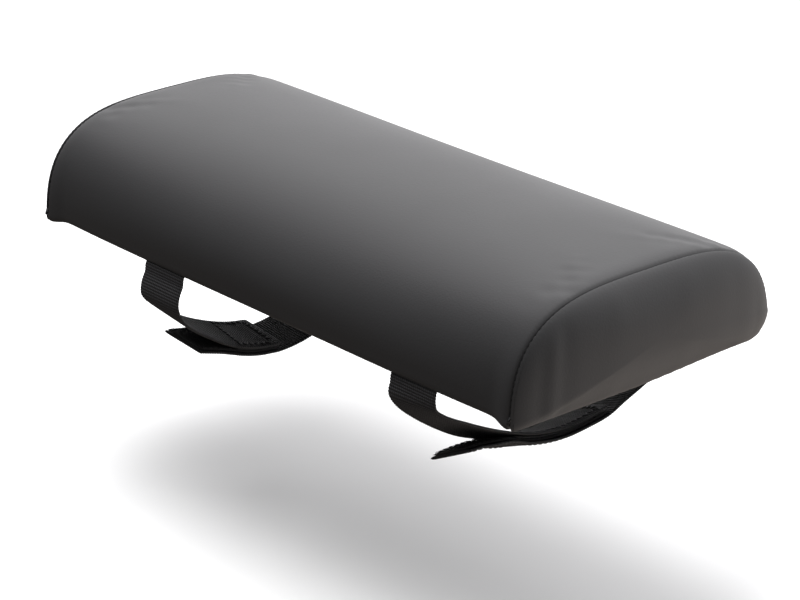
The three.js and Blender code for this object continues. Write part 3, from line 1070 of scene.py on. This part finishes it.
hem_line = round_rectangle(base_x - HEM_INSET, base_y - HEM_INSET, 0.005, 0.00028)
hem = sew("hem_stitches", stitch_row(hem_line, 0.0032), 0.00022, SEAM_THREAD)
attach(hem, "cushion")
print("hem stitches:", len(hem.data.polygons) // 48)

# %% [markdown]
# ## Webbing
# The straps are narrow webbing, woven with a rib across it. A smooth closed ribbon
# is swept along each route first. Geometry Nodes then lift its faces into ribs by a
# rule: how far a point lies along the strap says where it is on a rib, and how far
# it lies across says where it is on a yarn.

# %% Swept ribbons
WEB_WIDE, WEB_THICK = 0.0250, 0.0012
TAPE_WIDE, TAPE_THICK, TAPE_OFF = 0.0230, 0.0006, 0.0011


def ribbon(name, route, s0, s1, wide, thick, material, offset=0.0, columns=30, step=0.00022,
           scallop=0.0):
    """A closed ribbon between two distances on a route, its edges rounded."""
    count = max(int((s1 - s0) / step), 4) + 1
    s = np.linspace(s0, s1, count)
    a = np.linspace(-1, 1, columns + 1)
    half = np.power(1 - np.abs(a) ** 14, 0.5) * thick / 2
    across = np.concatenate([a, a[-2:0:-1]]) * wide / 2
    lift = np.concatenate([half, -half[-2:0:-1]])
    side = np.concatenate([np.ones(columns + 1), -np.ones(columns - 1)])
    side[0] = side[columns] = 0
    wave = 1 + scallop * np.cos(2 * math.pi * s / RIB_PITCH)[:, None] * (np.abs(across) > 0.49 * wide)
    points = route.spot(s[:, None] + 0 * across, across[None] * wave, offset + lift[None])
    ring = len(across)
    faces = grid_faces(count, ring, closed=True)
    faces.append(tuple(range(ring))[::-1])
    faces.append(tuple((count - 1) * ring + k for k in range(ring)))
    piece = new_piece(name, points.reshape(-1, 3), faces, material)
    mesh = piece.data
    for label, values in (("along", np.repeat(s, ring)), ("across", np.tile(across, count)),
                          ("face", np.tile(side, count))):
        data = mesh.attributes.new(label, "FLOAT", "POINT").data
        data.foreach_set("value", values.astype(np.float32))
    point_outwards(piece)
    return piece


# %% The weaving tree
def weave_tree():
    net, take = shape_tree("ribbed_weave", {"Rib pitch": RIB_PITCH, "Yarn pitch": YARN_PITCH,
                                            "Rib height": RIB_HEIGHT}, "Webbing")
    along, across, side = (
        net.add("GeometryNodeInputNamedAttribute", {"data_type": "FLOAT"}, {"Name": name})
        for name in ("along", "across", "face"))
    ribs = (along / take["Rib pitch"]).bump()
    yarns = (across / take["Yarn pitch"]).bump()
    height = (ribs * (0.7 + 0.3 * yarns) - 0.5) * take["Rib height"] * side * side
    normal = net.add("GeometryNodeInputNormal")
    shift = net.add("ShaderNodeVectorMath", {"operation": "SCALE"}, {0: normal, "Scale": height})
    woven = net.add("GeometryNodeSetPosition", {}, {"Geometry": take["Geometry"], "Offset": shift})
    return end_tree(net, woven, take["Webbing"])


WEAVE = weave_tree()


def weave(piece):
    ribs = piece.modifiers.new("ribs", "NODES")
    ribs.node_group = WEAVE
    set_inputs(ribs, **{"Rib pitch": RIB_PITCH, "Yarn pitch": YARN_PITCH, "Rib height": RIB_HEIGHT,
                        "Webbing": WEBBING})
    return bake(piece)


# %% Straps
def webbing(name, route, s0, s1, nodes, bodies, start, end):
    piece = weave(ribbon(name, route, s0, s1, WEB_WIDE, WEB_THICK - 0.0001, WEBBING,
                         columns=40, scallop=0.012))
    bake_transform(piece)
    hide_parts(*nodes)
    s1 - s0
    return piece


def near(route, s):
    return tuple(route.spot(np.array([s]))[0])


EDGE_Y, ROOT_Z, DROP_Z = 0.0612, 0.0010, -0.0080   # the webbing bends between these heights
BEND_REACH = 0.005
bends = {}
for name, (upper, lower) in routes.items():
    x = LOOPS[name]["x"] / 1000
    half, tab = f"{name}_lower_half", f"{name}_tab"
    webbing(f"{name}_upper_webbing", upper, 0, upper.length,
            [f"{name}_upper_strap_end", f"{name}_upper_strap"], ("cushion", f"{name}_upper_half"),
            (x, -EDGE_Y, ROOT_Z), (x, -EDGE_Y, DROP_Z))
    split = (lower.root + lower.lap_end) / 2
    webbing(f"{name}_lower_webbing", lower, split, lower.length,
            [f"{name}_lower_strap_end", f"{name}_lower_strap"], ("cushion", half),
            (x, EDGE_Y, ROOT_Z), (x, EDGE_Y, DROP_Z))
    bends[name] = near(lower, lower.root + BEND_REACH), near(lower, lower.root - BEND_REACH)
    webbing(f"{name}_tab_webbing", lower, 0, split, [f"{name}_pull_tab"], (half, tab), *bends[name])
    print(name, "webbing split at", round(split * 1000, 1), "mm")

# %% [markdown]
# ## Hook-and-loop tapes
# The free end of the upper half carries hooks on its underside. The lower half
# and its tab carry loops. Both tapes are thin ribbons, and what makes them grip is
# small and countless: Geometry Nodes scatter a bent fibre for each loop at random
# places and turns, and the script lays a small curled hook on a regular grid.

# %% Pile and hooks
def pile_tree():
    net, take = shape_tree("loop_pile", {"Density": 2.2e6, "Height": 0.00035, "Seed": 3}, "Fibre")
    tree = net.tree
    grown = tree.nodes.new("GeometryNodeDistributePointsOnFaces")
    for key in ("Density", "Seed"):
        tree.links.new(take[key].socket, grown.inputs[key])
    tree.links.new(take["Geometry"].socket, grown.inputs["Mesh"])
    arc = net.add("GeometryNodeCurveArc", {}, {"Resolution": 5, "Radius": 1.0, "Start Angle": 0.0,
                  "Sweep Angle": math.pi})
    upright = net.add("GeometryNodeTransform", {}, {"Geometry": arc,
                      "Rotation": (math.pi / 2, 0, 0)})
    small = net.add("GeometryNodeTransform", {}, {"Geometry": upright, "Scale": (0.8, 1, 1)})
    ring = net.add("GeometryNodeCurvePrimitiveCircle", {}, {"Resolution": 3, "Radius": 0.16})
    fibre = net.add("GeometryNodeCurveToMesh", {}, {"Curve": small, "Profile Curve": ring})
    spin = net.add("FunctionNodeRandomValue", {"data_type": "FLOAT"}, {2: 0.0, 3: 2 * math.pi,
                   "Seed": take["Seed"]}, out=1)
    about = net.add("ShaderNodeCombineXYZ", {}, {2: spin})
    lean = net.add("FunctionNodeRandomValue", {"data_type": "FLOAT"}, {2: -0.7, 3: 0.7,
                   "Seed": take["Seed"] + 1}, out=1)
    tilt = net.add("ShaderNodeCombineXYZ", {}, {0: lean, 2: spin})
    base = Value(net, grown.outputs["Rotation"])
    turned = net.add("FunctionNodeRotateRotation", {"rotation_space": "LOCAL"},
                     {0: base, 1: tilt})
    tall = net.add("FunctionNodeRandomValue", {"data_type": "FLOAT"}, {2: 0.55, 3: 1.0,
                   "Seed": take["Seed"] + 2}, out=1)
    stood = net.add("GeometryNodeInstanceOnPoints", {}, {"Points": Value(net, grown.outputs["Points"]),
                    "Instance": fibre, "Rotation": turned, "Scale": tall * take["Height"]})
    return end_tree(net, stood, take["Fibre"])


PILE = pile_tree()


def ribbon_patch(name, route, s0, s1, wide, lift, step, columns):
    """One open layer just above a ribbon's face, to grow pile or hooks on."""
    s = np.arange(s0, s1, step)
    across = np.linspace(-wide / 2, wide / 2, columns)
    return route.spot(s[:, None] + 0 * across, across, lift)


def pile(name, route, s0, s1, height, seed, density):
    points = ribbon_patch(name, route, s0, s1, TAPE_WIDE - 0.001, TAPE_OFF + TAPE_THICK / 2, 0.001, 9)
    piece = new_piece(name, points.reshape(-1, 3), grid_faces(*points.shape[:2]), LOOP_TAPE)
    up = route.spot(np.array([s0]), 0.0, 1.0)[0] - route.spot(np.array([s0]))[0]
    if piece.data.polygons[0].normal.dot(Vector(up)) < 0:
        piece.data.flip_normals()
    tree = piece.modifiers.new("pile", "NODES")
    tree.node_group = PILE
    set_inputs(tree, **{"Density": density, "Height": height, "Seed": seed, "Fibre": LOOP_TAPE})
    bake(piece)
    if not piece.data.materials:
        piece.data.materials.append(LOOP_TAPE)
    return piece


HOOK_STEP, HOOK_COLUMNS = 0.00125, 17


def hooks(name, route, s0, s1):
    """Curled hooks in rows on the underside of a tape, each a bent strip of few faces."""
    s = np.arange(s0 + 0.001, s1 - 0.001, HOOK_STEP)
    across = np.linspace(-TAPE_WIDE / 2 + 0.0016, TAPE_WIDE / 2 - 0.0016, HOOK_COLUMNS)
    root = -(TAPE_OFF + TAPE_THICK / 2)
    bend = [(0.0, 0.0), (0.0, -0.00022), (0.00010, -0.00034), (0.00026, -0.00034), (0.00034, -0.00022)]
    points, faces = [], []
    for row, at in enumerate(s):
        way = 1 if row % 2 else -1
        for a in across:
            start = len(points)
            for run, drop in bend:
                for da in (-0.00012, 0.00012):
                    points.append((at + way * run, a + da, root + drop + 0.00004))
                    points.append((at + way * run + 0.00010, a + da, root + drop - 0.00004))
            for k in range(len(bend) - 1):
                p = start + 4 * k
                for c in range(4):
                    order = (0, 1, 3, 2)
                    d, e = order[c], order[(c + 1) % 4]
                    faces.append((p + d, p + e, p + 4 + e, p + 4 + d))
            faces.append((start, start + 2, start + 3, start + 1))
            p = start + 4 * (len(bend) - 1)
            faces.append((p, p + 1, p + 3, p + 2))
    points = np.array(points)
    placed = route.spot(points[:, 0], points[:, 1], points[:, 2])
    piece = new_piece(name, placed, faces, HOOK_TAPE, smooth=False)
    point_outwards(piece)
    return piece


# %% Tapes
for name, (upper, lower) in routes.items():
    half, tab, top = f"{name}_lower_half", f"{name}_tab", f"{name}_upper_half"
    s0, s1 = upper.lap_from + 0.002, upper.length - 0.0012
    tape = ribbon(f"{name}_hook_strip", upper, s0, s1, TAPE_WIDE, TAPE_THICK, HOOK_TAPE,
                  offset=-TAPE_OFF, columns=12, step=0.0012)
    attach(tape, top)
    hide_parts(f"{name}_hook_tape")
    grip = hooks(f"{name}_hooks", upper, s0, s1)
    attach(grip, top)
    s1 = lower.lap_end + 0.0012
    tape = ribbon(f"{name}_loop_strip", lower, 0.0006, s1, TAPE_WIDE, TAPE_THICK, LOOP_TAPE,
                  offset=TAPE_OFF, columns=12, step=0.0012)
    fluff = pile(f"{name}_loop_pile", lower, 0.0010, s1 - 0.0004, 0.00042, 5, 2.0e6)
    for piece in (tape, fluff):
        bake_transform(piece)
    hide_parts(f"{name}_loop_tape", f"{name}_tab_tape")
    print(name, "tape pieces:", len(grip.data.polygons), "hook faces,",
          len(fluff.data.polygons), "pile faces")


# %% [markdown]
# ## Strap stitching
# The hook tape is sewn to the upper half with a zigzag down both edges and across
# its end, which shows on the inner face of the webbing. The loop tape is sewn with
# straight rows along its edges.

# %% Stitch rows on the straps
def zigzag(route, s0, s1, middle, swing, pitch, lift):
    s = np.arange(s0, s1, pitch)
    across = middle + swing * np.where(np.arange(len(s)) % 2, 1, -1)
    line = route.spot(s, across, lift)
    return np.stack([line[:-1], line[1:]], axis=1)


ZIGZAG_PITCH, ZIGZAG_SWING = 0.0014, 0.0011
for name, (upper, lower) in routes.items():
    lift = WEB_THICK / 2 + 0.00012
    s0, s1 = upper.lap_from + 0.003, upper.length - 0.0022
    pairs = [zigzag(upper, s0, s1, side * 0.0098, ZIGZAG_SWING, ZIGZAG_PITCH, lift)
             for side in (-1, 1)]
    cross = np.arange(-0.0090, 0.0091, 0.0013)
    for s in (s0 + 0.001, s1 - 0.0005):
        wave = s + 0.0009 * np.where(np.arange(len(cross)) % 2, 1, -1)
        line = upper.spot(wave, cross, lift)
        pairs.append(np.stack([line[:-1], line[1:]], axis=1))
    piece = sew(f"{name}_zigzag_stitches", np.concatenate(pairs), 0.00024, GREY_THREAD, 0.52)
    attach(piece, f"{name}_upper_half")
    rows = []
    for side in (-1, 1):
        for lift in (TAPE_OFF + TAPE_THICK / 2 + 0.0001, -WEB_THICK / 2 - 0.0001):
            s = np.arange(0.002, lower.lap_end - 0.001, 0.0006)
            rows.append(stitch_row(lower.spot(s, side * 0.0100, lift), 0.0026))
    piece = sew(f"{name}_tape_stitches", np.concatenate(rows), 0.00022, SEAM_THREAD)
    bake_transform(piece)
    print(name, "strap stitches sewn")

# %% [markdown]
# ## Inside
# The board and the two foams can't be seen, but they carry the shape, so they are
# kept. The board's solid is right as it is and only gets a finish. The foams are
# soft, so each is drawn again with the section's own curve and rounded ends.

# %% Foam blocks
def foam_block(name, node, crowned, material):
    """A block that fills the section between its solid's lowest and highest points."""
    low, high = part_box(node)
    section = d_section(260, inset=0.0027)
    side = section[(section[:, 1] >= low.z) & (section[:, 1] <= high.z)]
    right_side, left_side = side[side[:, 0] > 0], side[side[:, 0] < 0]
    if crowned:
        top = section[section[:, 1] > high.z]
    else:
        top = np.linspace(right_side[-1], left_side[0], 40)[1:-1]
        top[:, 1] = high.z
    line = np.concatenate([right_side, top, left_side])
    floor = np.linspace(line[-1], line[0], 40)[1:-1]
    floor[:, 1] = low.z
    ring = np.concatenate([line, floor])
    half = high.x
    inward = np.array([0, 0.0006, 0.0015, 0.003, 0.005, 0.009])
    xs = np.concatenate([-half + inward, np.linspace(-half + 0.02, half - 0.02, 9),
                         (half - inward)[::-1]])
    shrink = 1 - 0.21 * np.exp(-(half - np.abs(xs)) / 0.0030)
    middle = np.array([0, MIDDLE_Z])
    rows = [np.concatenate([np.full((len(ring), 1), x),
                            middle + (ring - middle) * k * (belly(x), 1)], axis=1)
            for x, k in zip(xs, shrink)]
    count = len(ring)
    faces = grid_faces(len(xs), count, closed=True)
    faces += [tuple(range(count))[::-1], tuple((len(xs) - 1) * count + k for k in range(count))]
    piece = new_piece(name, np.concatenate(rows), faces, material)
    point_outwards(piece, merge=True)
    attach(piece, "cushion")
    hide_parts(node)
    return piece


foam_block("firm_core", "foam_core", False, FIRM_FOAM)
foam_block("soft_topper", "foam_topper", True, SOFT_FOAM)
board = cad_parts["stiffener_board"]
for spot in board.material_slots:
    spot.material = BOARD
print("inside pieces made")

# %% [markdown]
# ## Studio
# The pad hangs over a white floor with a wide soft shadow under it. The light comes
# from behind and above, so the top shows a pale sheen and the long flank in front
# stays dark. The floor is lit up a little by itself, which keeps the paper white
# and the shadow soft. The sky is bright behind and dark in front, as a softbox and a
# black card would make it, and a warm glow from below lifts the near end.

# %% Floor
FLOOR_DROP = 0.062            # from the lowest strap to the floor


def studio_floor():
    size = 4.0
    z = cad_box[0][2] - FLOOR_DROP
    corners = [(-size, -size, z), (size, -size, z), (size, size, z), (-size, size, z)]
    f = Finish("studio_paper", Roughness=0.9, Specular_IOR_Level=0.0)
    grain = f.noise(30, 2)
    f.feed("Base Color", f.blend(grain, (0.71, 0.71, 0.71), (0.73, 0.73, 0.73)))
    f.shader.inputs["Emission Color"].default_value = (1, 1, 1, 1)
    f.shader.inputs["Emission Strength"].default_value = 0.135
    floor = new_piece("studio_floor", corners, [(0, 1, 2, 3)], f.material)
    floor.visible_glossy = False
    floor.visible_diffuse = False


studio_floor()


# %% Light
def sky():
    world = bpy.data.worlds.new("studio_sky")
    bpy.context.scene.world = world
    world.use_nodes = True
    net = Net(world.node_tree)
    way = net.add("ShaderNodeTexCoord", out="Generated")
    parts = world.node_tree.nodes.new("ShaderNodeSeparateXYZ")
    world.node_tree.links.new(way.socket, parts.inputs[0])
    x, y, z = (Value(net, parts.outputs[k]) for k in range(3))

    def ramp(value, start, end, low, high):
        return net.add("ShaderNodeMapRange", {"interpolation_type": "SMOOTHSTEP"},
                       {"Value": value, "From Min": start, "From Max": end,
                        "To Min": low, "To Max": high})

    behind = ramp(y - x * 0.15 + z * 0.45, 0.05, 0.92, 0.15, 2.05) \
        * ramp(y, 0.62, 0.95, 1.0, 0.62)
    below = ramp(-1 * z, 0.25, 0.75, 0.0, 1.0) * ramp(x, -0.1, 0.5, 0.0, 1.6) \
        * ramp(y, -0.3, 0.4, 0.3, 1.0)
    back = world.node_tree.nodes["Background"]
    world.node_tree.links.new((behind + below).socket, back.inputs["Strength"])
    lowness = ramp(-1 * z, 0.0, 0.5, 0.0, 1.0)
    warm = net.add("ShaderNodeMix", {"data_type": "RGBA"}, {0: lowness}, out=2)
    warm.socket.node.inputs[6].default_value = (0.99, 0.985, 1.0, 1)
    warm.socket.node.inputs[7].default_value = (1.0, 0.90, 0.83, 1)
    world.node_tree.links.new(warm.socket, back.inputs["Color"])


def softbox(name, place, target, wide, tall, watts):
    light = bpy.data.lights.new(name, "AREA")
    light.shape, light.size, light.size_y, light.energy = "RECTANGLE", wide, tall, watts
    lamp = bpy.data.objects.new(name, light)
    bpy.context.scene.collection.objects.link(lamp)
    lamp.location = place
    lamp.visible_glossy = False
    lamp.rotation_euler = (Vector(target) - Vector(place)).to_track_quat("-Z", "Y").to_euler()


sky()
softbox("overhead_softbox", (-0.12, -0.08, 0.9), (0, 0, 0), 0.8, 0.6, 15.0)
bpy.context.scene.view_settings.view_transform = "Standard"
print("studio lit")
